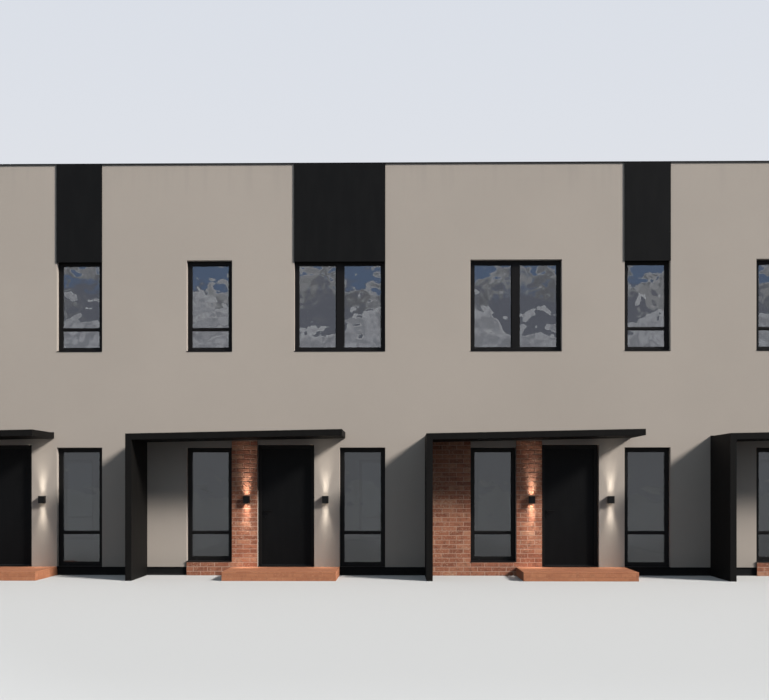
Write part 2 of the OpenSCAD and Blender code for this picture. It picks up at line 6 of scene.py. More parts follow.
import bmesh
import bpy
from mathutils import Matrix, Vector


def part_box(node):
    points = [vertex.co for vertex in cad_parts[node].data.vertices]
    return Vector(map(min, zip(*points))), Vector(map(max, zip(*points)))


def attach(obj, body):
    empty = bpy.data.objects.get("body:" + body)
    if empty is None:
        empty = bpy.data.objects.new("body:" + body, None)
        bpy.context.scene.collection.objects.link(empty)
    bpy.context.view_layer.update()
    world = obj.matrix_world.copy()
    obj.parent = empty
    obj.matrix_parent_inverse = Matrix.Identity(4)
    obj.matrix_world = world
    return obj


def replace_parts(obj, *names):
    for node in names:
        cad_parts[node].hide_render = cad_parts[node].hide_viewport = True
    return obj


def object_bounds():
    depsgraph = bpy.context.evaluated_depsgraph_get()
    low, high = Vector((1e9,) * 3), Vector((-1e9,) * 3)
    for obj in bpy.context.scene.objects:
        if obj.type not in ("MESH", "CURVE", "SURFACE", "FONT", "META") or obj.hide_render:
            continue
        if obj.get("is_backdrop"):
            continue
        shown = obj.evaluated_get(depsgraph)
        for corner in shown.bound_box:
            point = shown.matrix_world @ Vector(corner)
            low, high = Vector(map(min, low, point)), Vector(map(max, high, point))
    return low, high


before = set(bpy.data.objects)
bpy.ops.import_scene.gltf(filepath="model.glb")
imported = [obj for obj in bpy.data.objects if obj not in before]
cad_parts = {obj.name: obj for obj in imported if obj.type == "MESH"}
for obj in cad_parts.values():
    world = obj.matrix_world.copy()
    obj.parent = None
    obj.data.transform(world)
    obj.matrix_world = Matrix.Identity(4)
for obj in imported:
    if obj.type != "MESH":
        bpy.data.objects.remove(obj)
cad_low, cad_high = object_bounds()
random.seed(7)


# Foundation raft: one slab of concrete under the whole row, cast against boards on the ground.
# Its rim is hidden behind the plinth boards, and the ground floor's walls stand on it.
class Wire:
    """An output in a material's node tree. Sums, differences and products of wires and numbers
    add Math nodes, and node() adds a node of any other kind."""

    def __init__(self, tree, socket):
        self.tree = tree
        self.socket = socket

    def node(self, kind, settings, inputs, out=0):
        made = self.tree.nodes.new(kind)
        for name, value in settings.items():
            if name == "stops":
                ramp = made.color_ramp.elements
                ramp.remove(ramp[1])
                ramp[0].position, ramp[0].color = value[0]
                for place, tint in value[1:]:
                    ramp.new(place).color = tint
            else:
                setattr(made, name, value)
        for name, value in inputs.items():
            if isinstance(value, Wire):
                self.tree.links.new(value.socket, made.inputs[name])
            else:
                made.inputs[name].default_value = value
        return Wire(self.tree, made.outputs[out])

    def math(self, operation, *terms):
        return self.node("ShaderNodeMath", {"operation": operation}, dict(enumerate(terms)))

    def __add__(self, other):
        return self.math("ADD", self, other)

    def __sub__(self, other):
        return self.math("SUBTRACT", self, other)

    def __rsub__(self, other):
        return self.math("SUBTRACT", other, self)

    def __mul__(self, other):
        return self.math("MULTIPLY", self, other)

    __radd__ = __add__
    __rmul__ = __mul__


def new_finish(name):
    """A new material, the wire of its object coordinates, and its shader."""
    made = bpy.data.materials.new(name)
    made.use_nodes = True
    coordinates = made.node_tree.nodes.new("ShaderNodeTexCoord")
    place = Wire(made.node_tree, coordinates.outputs["Object"])
    return made, place, made.node_tree.nodes["Principled BSDF"]


def coat(shader, **looks):
    """Sets the shader's sockets, or links them. Base_Color stands for Base Color."""
    for name, value in looks.items():
        socket = shader.inputs[name.replace("_", " ")]
        if isinstance(value, Wire):
            value.tree.links.new(value.socket, socket)
        else:
            socket.default_value = value


def colour(red, green, blue, factor=1.0):
    return (red * factor, green * factor, blue * factor, 1.0)


def grain(place, size, detail=2.0, stretch=(1, 1, 1)):
    """Noise about 0.5, in lumps of about size metres, longer along an axis stretched below 1."""
    scaled = place.node("ShaderNodeVectorMath", {"operation": "MULTIPLY"}, {0: place, 1: stretch})
    return place.node("ShaderNodeTexNoise", {}, {"Vector": scaled, "Scale": 1 / size, "Detail": detail})


def between(value, low, high):
    """0 below low, 1 above high, and smooth in between. With low above high it falls."""
    span = {"Value": value, "From Min": low, "From Max": high}
    return value.node("ShaderNodeMapRange", {"interpolation_type": "SMOOTHSTEP"}, span)


def axis(place, name):
    return place.node("ShaderNodeSeparateXYZ", {}, {"Vector": place}, name)


def mix(mask, first, second):
    """The first colour where mask is 0, and the second where it is 1."""
    return mask.node("ShaderNodeMix", {"data_type": "RGBA"}, {0: mask, 6: first, 7: second}, 2)


def bump(height, metres):
    """The normal of a surface that rises by metres where height is 1."""
    return height.node("ShaderNodeBump", {}, {"Height": height, "Distance": metres, "Strength": 1.0})


def cast_concrete(name, tint):
    made, place, shader = new_finish(name)
    mottle = grain(place, 0.7, 5)
    pores = between(grain(place, 0.012, 2), 0.32, 0.42)
    tone = mix(between(mottle, 0.3, 0.7), colour(*tint, 0.88), colour(*tint, 1.06))
    coat(shader, Base_Color=mix(pores, colour(*tint, 0.6), tone), Roughness=0.78 + 0.15 * mottle,
         Normal=bump(pores + 0.4 * grain(place, 0.05, 4), 0.0015))
    return made


def dress(node, finish):
    """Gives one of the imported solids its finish."""
    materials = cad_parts[node].data.materials
    materials.clear()
    materials.append(finish)


concrete = cast_concrete("cast_concrete", (0.60, 0.59, 0.57))
dress("foundation_raft", concrete)


# Plinth boards: insulation boards stuck to the raft's rim and coated with black sealing render.
# They stand back under the plaster, and rain splashes dust up their lowest few centimetres.
def sealing_render(name):
    made, place, shader = new_finish(name)
    height = axis(place, "Z")
    dust = between(height + 0.05 * grain(place, 0.09, 4), 0.075, 0.035)
    streaks = grain(place, 0.05, 3, (1, 1, 0.15))
    black = mix(streaks, colour(0.005, 0.005, 0.005), colour(0.009, 0.009, 0.009))
    coat(shader, Base_Color=mix(0.12 * dust, black, colour(0.11, 0.10, 0.09)),
         Roughness=0.8 + 0.15 * dust, Specular_IOR_Level=0.1,
         Normal=bump(grain(place, 0.006, 4), 0.0012))
    return made


dress("plinth_boards", sealing_render("plinth_render"))


# Floor boards: oiled oak planks of 180 mm, glued side by side in broken rows, on both storeys.
# They run from the street wall to the rear wall, with a short strip of planks in each doorway.
BLOCK_FACES = [(0, 2, 3, 1), (4, 5, 7, 6), (0, 1, 5, 4), (2, 6, 7, 3), (0, 4, 6, 2), (1, 3, 7, 5)]


class Shape:
    """Points and faces of one piece. Each face has a tone from 0 to 1, by which the finish can
    tell one plank or brick from the next."""

    def __init__(self):
        self.points = []
        self.faces = []
        self.tones = []

    def add(self, points, faces, tone=0.5):
        first = len(self.points)
        self.points += points
        self.faces += [[first + i for i in face] for face in faces]
        self.tones += [tone] * len(faces)

    def block(self, x, y, z, tone=0.5):
        self.add([(a, b, c) for c in z for b in y for a in x], BLOCK_FACES, tone)

    def piece(self, name, finish):
        """Makes the object, which stays with the row, with the finish as its material."""
        mesh = bpy.data.meshes.new(name)
        mesh.from_pydata(self.points, [], self.faces)
        mesh.attributes.new("tone", "FLOAT", "FACE").data.foreach_set("value", self.tones)
        mesh.materials.append(finish)
        made = bpy.data.objects.new(name, mesh)
        bpy.context.scene.collection.objects.link(made)
        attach(made, "row")
        return made


def solids(node):
    """Lowest and highest corner of each separate solid in a CAD node, by x and then by z."""
    mesh = bmesh.new()
    mesh.from_mesh(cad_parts[node].data)
    bmesh.ops.remove_doubles(mesh, verts=mesh.verts, dist=1e-5)
    waiting = set(mesh.verts)
    found = []
    while waiting:
        island = [waiting.pop()]
        for vertex in island:
            for edge in vertex.link_edges:
                other = edge.other_vert(vertex)
                if other in waiting:
                    waiting.remove(other)
                    island.append(other)
        low = Vector([min(v.co[i] for v in island) for i in range(3)])
        high = Vector([max(v.co[i] for v in island) for i in range(3)])
        found.append((low, high))
    mesh.free()
    return sorted(found, key=lambda box: (round(box[0].x, 3), round(box[0].z, 3)))


def lay_planks(shape, x, y, z):
    """Planks of one width across x, each row starting with a shorter plank than the last."""
    width = 0.18
    length = 2.2
    joint = 0.0015
    rows = math.ceil((x[1] - x[0]) / width)
    for row in range(rows):
        left = x[0] + row * width
        right = min(left + width, x[1])
        start = y[0] - length * random.random()
        while start < y[1]:
            along = (max(start, y[0]), min(start + length, y[1]) - joint)
            if along[1] > along[0]:
                shape.block((left, right - joint), along, z, random.random())
            start += length


def oiled_oak(name):
    made, place, shader = new_finish(name)
    tone = place.node("ShaderNodeAttribute", {"attribute_name": "tone"}, {}, "Fac")
    rings = grain(place, 0.02, 4, (1, 0.06, 1))
    fibres = grain(place, 0.0025, 2, (1, 0.03, 1))
    pale = mix(tone, colour(0.36, 0.23, 0.125), colour(0.50, 0.35, 0.21))
    figured = mix(between(rings, 0.42, 0.6), pale, colour(0.25, 0.15, 0.075))
    coat(shader, Base_Color=mix(0.3 * fibres, figured, colour(0.18, 0.10, 0.05)),
         Roughness=0.45 + 0.2 * rings, Normal=bump(fibres, 0.0002))
    return made


planks = Shape()
rooms = solids("floor_boards")
room_front = max(low.y for low, high in rooms)
doorways = solids("door_thresholds")
for low, high in rooms:
    lay_planks(planks, (low.x, high.x), (room_front, high.y), (low.z, high.z))
for threshold, (low, high) in zip(doorways, [room for room in rooms if room[0].y < room_front]):
    lay_planks(planks, (threshold[0].x, threshold[1].x), (low.y, room_front), (low.z, high.z))
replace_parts(planks.piece("oak_planks", oiled_oak("oiled_oak")), "floor_boards")


# Block and party walls: aerated blocks and calcium silicate, bonded and skimmed white on the
# rooms' side. The street sees them only through the windows, and the roof hides their tops.
def skim_coat(name):
    made, place, shader = new_finish(name)
    trowelled = grain(place, 0.25, 5)
    tone = mix(trowelled, colour(0.62, 0.61, 0.58), colour(0.74, 0.73, 0.70))
    coat(shader, Base_Color=tone, Roughness=0.8 + 0.1 * trowelled,
         Normal=bump(grain(place, 0.03, 5), 0.0008))
    return made


white_skim = skim_coat("white_skim")
for wall in ("ground_party_walls", "upper_party_walls", "front_blockwork_ground", "rear_blockwork_ground",
             "front_blockwork_upper", "rear_blockwork_upper", "parapet_blockwork"):
    dress(wall, white_skim)


# Ring beams and slabs: concrete cast on the block walls, each storey in one pour.
# Their undersides are the rooms' ceilings, left as struck from the boards.
for pour in ("ring_beams", "upper_floor_slab", "roof_slab"):
    dress(pour, concrete)


# Roof covering: tapered insulation under grey membrane, welded in sheets that lap at their sides.
# At each wall the membrane turns up over a fillet and is clamped under the coping.
def top_near(node, index, value):
    """Highest point of a CAD node among its points whose coordinate on one axis is value."""
    points = [v.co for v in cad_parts[node].data.vertices]
    return max(co.z for co in points if abs(co[index] - value) < 1e-4)


roof_low, roof_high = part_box("roof_covering")
roof_front_z = top_near("roof_covering", 1, roof_low.y)
roof_rear_z = top_near("roof_covering", 1, roof_high.y)
coping_low, coping_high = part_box("copings")
sheet_pitch = 1.4
sheet_lap = 0.08
sheet_thickness = 0.003
fillet = 0.05
upstand_top = coping_low.z + 0.004
lap_count = math.floor((roof_high.x - roof_low.x) / sheet_pitch)
lap_start = (roof_low.x + roof_high.x - lap_count * sheet_pitch) / 2


def roof_membrane(name):
    """Each sheet has its own grey, and dirt settles beside the laps and in shallow dips."""
    made, place, shader = new_finish(name)
    sheets = (axis(place, "X") - lap_start) * (1 / sheet_pitch)
    own = sheets.node("ShaderNodeTexWhiteNoise", {"noise_dimensions": "1D"},
                      {"W": sheets.math("FLOOR", sheets)})
    across = sheets.math("FRACT", sheets)
    edge = between(across, 0.10, 0.02) + between(across, 0.93, 1.0)
    dips = between(grain(place, 1.6, 7), 0.42, 0.78)
    runs = grain(place, 0.25, 4, (1, 0.12, 1))
    grey = mix(0.6 * own + 0.4 * runs, colour(0.085, 0.086, 0.090), colour(0.128, 0.129, 0.133))
    grey = mix(0.35 * edge * runs, grey, colour(0.045, 0.044, 0.042))
    coat(shader, Base_Color=mix(0.7 * dips, grey, colour(0.17, 0.16, 0.145)),
         Roughness=0.65 + 0.25 * dips, Normal=bump(grain(place, 0.02, 3), 0.0006))
    return made


membrane = roof_membrane("roof_membrane")
dress("roof_covering", membrane)
laps = Shape()
for i in range(lap_count + 1):
    left = lap_start + i * sheet_pitch - sheet_lap / 2
    span = (max(left, roof_low.x + fillet), min(left + sheet_lap, roof_high.x - fillet))
    profile = [(a, b, c + rise) for rise in (0, sheet_thickness)
               for b, c in ((roof_low.y + fillet, roof_front_z), (roof_high.y - fillet, roof_rear_z))
               for a in span]
    laps.add(profile, BLOCK_FACES)
laps.piece("roof_laps", membrane)

UPSTAND_FACES = [(4, 3, 2, 1, 0), (5, 6, 7, 8, 9), (1, 6, 5, 0), (2, 7, 6, 1), (3, 8, 7, 2),
                 (4, 9, 8, 3), (0, 5, 9, 4)]


def upstand(shape, corners, inward):
    """Membrane turned up a wall from one corner to the next; inward points to the roof."""
    thickness = 2 * sheet_thickness
    rings = []
    for x, y, z in corners:
        for out, up in ((0, z), (fillet, z), (thickness, z + fillet), (thickness, upstand_top),
                        (0, upstand_top)):
            rings.append((x + inward[0] * out, y + inward[1] * out, up))
    shape.add(rings, UPSTAND_FACES)


upstands = Shape()
front_left = (roof_low.x, roof_low.y, roof_front_z)
front_right = (roof_high.x, roof_low.y, roof_front_z)
rear_left = (roof_low.x, roof_high.y, roof_rear_z)
rear_right = (roof_high.x, roof_high.y, roof_rear_z)
upstand(upstands, (front_left, front_right), (0, 1))
upstand(upstands, (rear_right, rear_left), (0, -1))
upstand(upstands, (rear_left, front_left), (1, 0))
upstand(upstands, (front_right, rear_right), (-1, 0))
upstands.piece("roof_upstands", membrane)


# Plaster skin: insulation boards with mesh and a fine scratched render in warm grey, split beside
# and over the doors. Its outer corners are rounded over beads, and rain marks it under the edges.
def scratched_render(name):
    made, place, shader = new_finish(name)
    height = axis(place, "Z")
    batches = grain(place, 2.2, 3)
    trowelled = grain(place, 0.22, 4)
    grit = grain(place, 0.0028, 2)
    drips = grain(place, 0.16, 4, (1, 1, 0.07))
    tone = mix(between(batches, 0.3, 0.7), colour(0.366, 0.323, 0.281), colour(0.388, 0.342, 0.298))
    tone = mix(0.22 * trowelled, tone, colour(0.325, 0.292, 0.268))
    tone = mix(0.30 * between(grit, 0.35, 0.6), tone, colour(0.445, 0.395, 0.355))
    under_coping = between(height, 6.5, 7.2) * between(drips, 0.45, 0.7)
    splashed = between(height + 0.25 * trowelled, 0.62, 0.22)
    tone = mix(0.12 * under_coping, tone, colour(0.20, 0.19, 0.175))
    tone = mix(0.25 * splashed, tone, colour(0.24, 0.22, 0.19))
    waves = grain(place, 0.8, 2)
    coat(shader, Base_Color=tone, Roughness=0.9, Specular_IOR_Level=0.3,
         Normal=bump(0.0012 * grit + 0.004 * waves, 1.0))
    return made


arris_bead = 0.004


def skin(name, finish, nodes, openings):
    """A sheet of plaster in place of CAD nodes, with its openings left out. Only the arrises that
    the weather sees are rounded."""
    low = Vector([min(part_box(node)[0][i] for node in nodes) for i in range(3)])
    high = Vector([max(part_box(node)[1][i] for node in nodes) for i in range(3)])
    at_rear = abs(low.y - cad_low.y) > abs(high.y - cad_high.y)
    face_y, back_y = (high.y, low.y) if at_rear else (low.y, high.y)
    edges_x = sorted({low.x, high.x}.union(*[(box[0].x, box[1].x) for box in openings]))
    edges_z = sorted({low.z, high.z}.union(*[(box[0].z, box[1].z) for box in openings]))
    columns = len(edges_x) - 1
    rows = len(edges_z) - 1

    def filled(i, j):
        if not (0 <= i < columns and 0 <= j < rows):
            return False
        x = (edges_x[i] + edges_x[i + 1]) / 2
        z = (edges_z[j] + edges_z[j + 1]) / 2
        return not any(a.x < x < b.x and a.z < z < b.z for a, b in openings)

    points = [(x, y, z) for y in (face_y, back_y) for z in edges_z for x in edges_x]
    deep = (columns + 1) * (rows + 1)
    faces = []
    arrises = set()
    for i in range(columns):
        for j in range(rows):
            if not filled(i, j):
                continue
            first = j * (columns + 1) + i
            above = first + columns + 1
            loop = [first, first + 1, above + 1, above]
            faces += [loop, [deep + corner for corner in reversed(loop)]]
            beside = [(i, j - 1), (i + 1, j), (i, j + 1), (i - 1, j)]
            for side, (a, b) in zip(beside, zip(loop, loop[1:] + loop[:1])):
                if filled(*side):
                    continue
                faces.append([b, a, deep + a, deep + b])
                if 0 <= side[1] < rows:
                    arrises.add(frozenset((a, b)))
    shape = Shape()
    shape.add(points, faces)
    made = shape.piece(name, finish)
    mesh = made.data
    weight = mesh.attributes.new("bevel_weight_edge", "FLOAT", "EDGE")
    weight.data.foreach_set("value", [float(frozenset(e.vertices) in arrises) for e in mesh.edges])
    cleaned = bmesh.new()
    cleaned.from_mesh(mesh)
    bmesh.ops.delete(cleaned, geom=[v for v in cleaned.verts if not v.link_faces], context="VERTS")
    bmesh.ops.recalc_face_normals(cleaned, faces=cleaned.faces)
    cleaned.to_mesh(mesh)
    cleaned.free()
    bevel = made.modifiers.new("arrises", "BEVEL")
    bevel.limit_method = "WEIGHT"
    bevel.width = arris_bead
    bevel.segments = 2
    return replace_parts(made, *nodes)


render = scratched_render("scratched_render")
dress("end_walls", render)
front_windows = solids("front_ground_window_frames") + solids("front_upper_window_frames")
door_frames = solids("door_frames")
door_holes = [(Vector((low.x, low.y, doorways[0][0].z)), high) for low, high in door_frames]
skin("front_render", render, ("front_plaster_ground", "front_plaster_upper"), front_windows + door_holes)
skin("rear_render", render, ("rear_plaster",), solids("rear_window_frames"))


def free_spans(start, end, taken):
    """Parts of a span that none of the taken spans covers."""
    free = []
    for low, high in sorted(taken) + [(end, end)]:
        if low > start + 0.001:
            free.append((start, min(low, end)))
        start = max(start, high)
    return free


def base_rail(shape, x, y, z, outward):
    """A rail under the plaster's lower edge, with a small nose from which the water drips."""
    flange = 0.02
    nose = 0.003
    lip = 0.0015
    across = 0 if outward[0] else 1
    way = outward[across]
    spans = [x, y]
    face = spans[across][1] if way > 0 else spans[across][0]
    for back, level in ((flange, (z - lip, z)), (0, (z - 2 * lip, z + 2 * lip))):
        spans[across] = sorted((face - back * way, face + nose * way))
        shape.block(*spans, level)


plaster_low, plaster_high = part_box("front_plaster_upper")
rear_low, rear_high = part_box("rear_plaster")
foot = rear_low.z
rails = Shape()
at_front = []
for node in ("brick_piers", "brick_side_panels", "brick_aprons", "entrance_steps", "porch_fins"):
    at_front += [(low.x, high.x) for low, high in solids(node)]
at_front += [(low.x, high.x) for low, high in front_windows + door_holes if low.z < foot + 0.05]
for span in free_spans(plaster_low.x, plaster_high.x, at_front):
    base_rail(rails, span, (plaster_low.y, plaster_high.y), foot, (0, -1))
at_rear = [(low.x, high.x) for low, high in solids("rear_window_frames") if low.z < foot + 0.05]
for span in free_spans(rear_low.x, rear_high.x, at_rear):
    base_rail(rails, span, (rear_low.y, rear_high.y), foot, (0, 1))
end_low, end_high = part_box("end_walls")
for side in (-1, 1):
    base_rail(rails, (end_low.x, end_high.x), (plaster_low.y, rear_high.y), foot, (side, 0))


def moulded_plastic(name, tint):
    made, place, shader = new_finish(name)
    dust = grain(place, 0.05, 4)
    coat(shader, Base_Color=mix(dust, colour(*tint, 0.85), colour(*tint, 1.05)),
         Roughness=0.45 + 0.2 * dust, Specular_IOR_Level=0.3, Normal=bump(grain(place, 0.004, 2), 0.0001))
    return made


rails.piece("base_rails", moulded_plastic("rail_plastic", (0.30, 0.27, 0.245)))


# Coping: folded aluminium sheet over the parapets, coated black, in lengths that meet in mitres at
# the corners. Behind each open joint lies a strip of the same sheet, which leads the water off.
def powder_coat(name, tint, roughness=0.42, shine=0.12, texture=0.00006, dust=0.0):
    """Black paint baked on metal: fine texture, faint rain marks, pale dust where it can lie, and
    a painted shade that darkens its undersides."""
    made, place, shader = new_finish(name)
    marks = grain(place, 0.12, 5, (1, 1, 0.2))
    speckle = grain(place, 0.0012, 1)
    tone = mix(between(marks, 0.35, 0.7), colour(*tint, 0.9), colour(*tint, 1.14))
    upward = axis(place.node("ShaderNodeNewGeometry", {}, {}, "Normal"), "Z")
    # Painted shade: faces that point down are painted darker, as if they lay in shade.
    tone = mix(between(upward, -0.6, -0.95), tone, colour(*tint, 0.35))
    lying = between(upward, 0.6, 0.95) * between(grain(place, 0.5, 7), 0.2, 0.8)
    coat(shader, Base_Color=mix((0.10 + dust) * lying, tone, colour(0.20, 0.185, 0.17)),
         Roughness=roughness + 0.12 * marks + 0.2 * lying, Specular_IOR_Level=shine,
         Normal=bump(speckle, texture))
    return made


def soften(made, radius):
    """Rounds a piece's sharp edges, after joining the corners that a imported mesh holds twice."""
    weld = made.modifiers.new("joined", "WELD")
    weld.merge_threshold = 1e-5
    bevel = made.modifiers.new("edges", "BEVEL")
    bevel.width = radius
    bevel.segments = 2
    bevel.limit_method = "ANGLE"
    bevel.angle_limit = math.radians(40)
    made.modifiers.new("shading", "WEIGHTED_NORMAL")
    return made


drawn_edge = 0.0015
coping_paint = powder_coat("coping_paint", (0.010, 0.010, 0.011), dust=0.15)
dress("copings", coping_paint)
soften(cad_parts["copings"], drawn_edge)


def strap(shape, start, end, width, z):
    """A flat strip between two points on the roof's edge."""
    along = Vector((end[0] - start[0], end[1] - start[1], 0)).normalized()
    side = Vector((-along.y, along.x, 0)) * width / 2
    corners = [Vector((*start, 0)) - side, Vector((*end, 0)) - side,
               Vector((*start, 0)) + side, Vector((*end, 0)) + side]
    shape.add([(corner.x, corner.y, level) for level in z for corner in corners], BLOCK_FACES)


straps = Shape()
lengths = solids("copings")
wall_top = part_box("parapet_blockwork")[1].z
strap_sheet = 0.0015
strap_width = 0.003
strap_z = (wall_top, wall_top + strap_sheet)
front_run = [box for box in lengths if box[0].y < coping_low.y + 0.001 and box[1].y < 0]
run_depth = min(high.y for low, high in front_run) - coping_low.y
side_run = max(high.x - low.x for low, high in lengths if high.y - low.y > 2)
joint_x = [(left[1].x + right[0].x) / 2 for left, right in zip(front_run, front_run[1:])]
run_widths = ((coping_low.y, coping_low.y + run_depth), (coping_high.y, coping_high.y - run_depth))
side_widths = ((coping_low.x, coping_low.x + side_run), (coping_high.x, coping_high.x - side_run))
for x in joint_x:
    for outer, inner in run_widths:
        strap(straps, (x, outer), (x, inner), strap_width, strap_z)
for outer_x, inner_x in side_widths:
    for outer_y, inner_y in run_widths:
        tip = Vector((outer_x, outer_y)).lerp(Vector((inner_x, inner_y)), 0.01)
        strap(straps, tip, (inner_x, inner_y), strap_width, strap_z)
straps.piece("coping_straps", coping_paint)


# Window head panels: sheets of matte black aluminium on a hidden frame, from the windows' heads up
# to the coping. Their sides and lower edge are folded back to the plaster.
folded_edge = 0.002
panel_paint = powder_coat("panel_paint", (0.0062, 0.0062, 0.0062), roughness=0.55, shine=0.06)
dress("window_head_panels", panel_paint)
soften(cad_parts["window_head_panels"], folded_edge)


# Windows: thermally broken aluminium frames in satin black, set back by the plaster's thickness.
# Glazing beads, rubber seals and a spacer hold two panes of glass each, and sills shed the rain.
def ring(shape, x, y, z, width):
    """A mitred ring of bars in the plane of a wall, from its outer spans x and z inwards."""
    outer = [(x[0], z[0]), (x[1], z[0]), (x[1], z[1]), (x[0], z[1])]
    inner = [(x[0] + width, z[0] + width), (x[1] - width, z[0] + width),
             (x[1] - width, z[1] - width), (x[0] + width, z[1] - width)]
    points = [(a, depth, c) for depth in y for a, c in outer + inner]
    faces = []
    for i in range(4):
        j = (i + 1) % 4
        faces += [(i, j, 4 + j, 4 + i), (8 + i, 12 + i, 12 + j, 8 + j), (i, 8 + i, 8 + j, j),
                  (4 + i, 4 + j, 12 + j, 12 + i)]
    shape.add(points, faces)


def window_glass(name):
    """Sun-control glass: a grey see-through body whose outer face mirrors, drawn slightly wavy."""
    made, place, shader = new_finish(name)
    tree = made.node_tree
    tree.nodes.remove(shader)
    waves = bump(grain(place, 0.4, 1.5), 0.006)
    through = place.node("ShaderNodeBsdfTransparent", {}, {"Color": colour(0.53, 0.55, 0.56)})
    mirror = place.node("ShaderNodeBsdfGlossy", {}, {"Color": colour(0.95, 0.97, 1.0), "Roughness": 0.0,
                                                     "Normal": waves})
    outer = 1 - place.node("ShaderNodeNewGeometry", {}, {}, "Backfacing")
    glance = outer * place.node("ShaderNodeFresnel", {}, {"IOR": 1.83})
    both = place.node("ShaderNodeMixShader", {}, {0: glance, 1: through, 2: mirror})
    tree.links.new(both.socket, tree.nodes["Material Output"].inputs["Surface"])
    return made


def rubber(name):
    made, place, shader = new_finish(name)
    coat(shader, Base_Color=mix(grain(place, 0.04, 3), colour(0.010, 0.010, 0.010),
                                colour(0.020, 0.020, 0.020)),
         Roughness=0.75, Specular_IOR_Level=0.2, Normal=bump(grain(place, 0.002, 2), 0.0001))
    return made


frame_paint = powder_coat("frame_paint", (0.0062, 0.0057, 0.0055), roughness=0.45, shine=0.08)
black_rubber = rubber("black_rubber")
glass = window_glass("window_glass")
sheet_glass = 0.004
spacer = 0.013
seal = 0.005
bead_inset = 0.012
for side in ("front_ground", "front_upper", "rear"):
    dress(side + "_window_frames", frame_paint)
    soften(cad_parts[side + "_window_frames"], drawn_edge)
    panes = Shape()
    seals = Shape()
    spacers = Shape()
    for low, high in solids(side + "_window_glass"):
        x = (low.x, high.x)
        z = (low.z, high.z)
        panes.block(x, (low.y, low.y + sheet_glass), z)
        panes.block(x, (high.y - sheet_glass, high.y), z)
        ring(spacers, x, (low.y + sheet_glass, high.y - sheet_glass), z, spacer)
        clear_x = (low.x + bead_inset, high.x - bead_inset)
        clear_z = (low.z + bead_inset, high.z - bead_inset)
        for y in ((low.y - seal, low.y), (high.y, high.y + seal)):
            ring(seals, clear_x, y, clear_z, seal)
    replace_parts(panes.piece(side + "_panes", glass), side + "_window_glass")
    seals.piece(side + "_glazing_seals", black_rubber)
    spacers.piece(side + "_glass_spacers", black_rubber)
fine_edge = 0.0012
dress("window_sills", frame_paint)
soften(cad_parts["window_sills"], fine_edge)


def weep_cap(shape, x, y, z, outward):
    """A hooded cap over the slot that drains a frame's groove, with its back on the frame."""
    width = 0.016
    height = 0.011
    hood = 0.006 * outward
    flat = [(x - width, z), (x + width, z), (x - width, z + height), (x + width, z + height)]
    back = [(a, y, c) for a, c in flat]
    face = [(a * 0.9 + x * 0.1, y + hood * (0.5 if c > z else 1.0), c) for a, c in flat]
    points = (back + face) if outward > 0 else (face + back)
    shape.add([points[i] for i in (0, 1, 4, 5, 2, 3, 6, 7)], BLOCK_FACES)


caps = Shape()
cap_rise = 0.022
for side, outward in (("front_ground", -1), ("front_upper", -1), ("rear", 1)):
    for low, high in solids(side + "_window_frames"):
        face = low.y if outward < 0 else high.y
        for share in (0.2, 0.8):
            weep_cap(caps, low.x + share * (high.x - low.x), face, low.z + cap_rise, outward)
caps.piece("weep_caps", black_rubber)


# Porch fins and canopies: a stiff wall panel and a slightly rising roof panel per house, clad in
# textured black sheet and mitred where they meet. A flashing leads rain off the plaster above.
porch_paint = powder_coat("porch_paint", (0.0062, 0.0057, 0.0052), roughness=0.55, shine=0.06)
for porch in ("porch_fins", "porch_canopies"):
    dress(porch, porch_paint)
    soften(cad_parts[porch], folded_edge)
flashings = Shape()
flashing_sheet = 0.0015
flashing_depth = 0.03
flashing_rise = 0.010
for low, high in solids("porch_canopies"):
    ends = (low.x + folded_edge, high.x - folded_edge)
    fall = (high.z - top_near("porch_canopies", 0, low.x)) / (high.x - low.x)
    tops = [high.z - fall * (high.x - x) for x in ends]
    upright = (plaster_low.y - flashing_sheet, plaster_low.y)
    flat = (plaster_low.y - flashing_depth, plaster_low.y - flashing_sheet)
    for y, rise in ((upright, flashing_rise), (flat, flashing_sheet)):
        flashings.add([(x, b, top + up) for up in (0, rise) for b in y for x, top in zip(ends, tops)],
                      BLOCK_FACES)
flashings.piece("canopy_flashings", coping_paint)


# Entrance steps: concrete cores faced and paved with orange clinker in matching mortar.
# The pavers on top are laid in stretcher bond, and two courses of slips face the sides.
def fired_unit(shape, x, y, z, tone, wobble=0.0008, tops=None):
    """A block with slightly uneven chamfered edges. tops gives the height at each end in x."""
    arris = 0.003
    ends = tops or (z[1], z[1])
    points = []
    for c in (0, 1):
        for b in (0, 1):
            for a in (0, 1):
                corner = Vector((x[a], y[b], (z[0], ends[a])[c]))
                inward = Vector((1 - 2 * a, 1 - 2 * b, 1 - 2 * c)) * arris
                for i in range(3):
                    moved = corner + inward
                    moved[i] = corner[i]
                    for k in range(3):
                        if k != i:
                            moved[k] += random.uniform(-wobble, wobble)
                    points.append(tuple(moved))
    shape.add(points, CHAMFERED_FACES, tone)


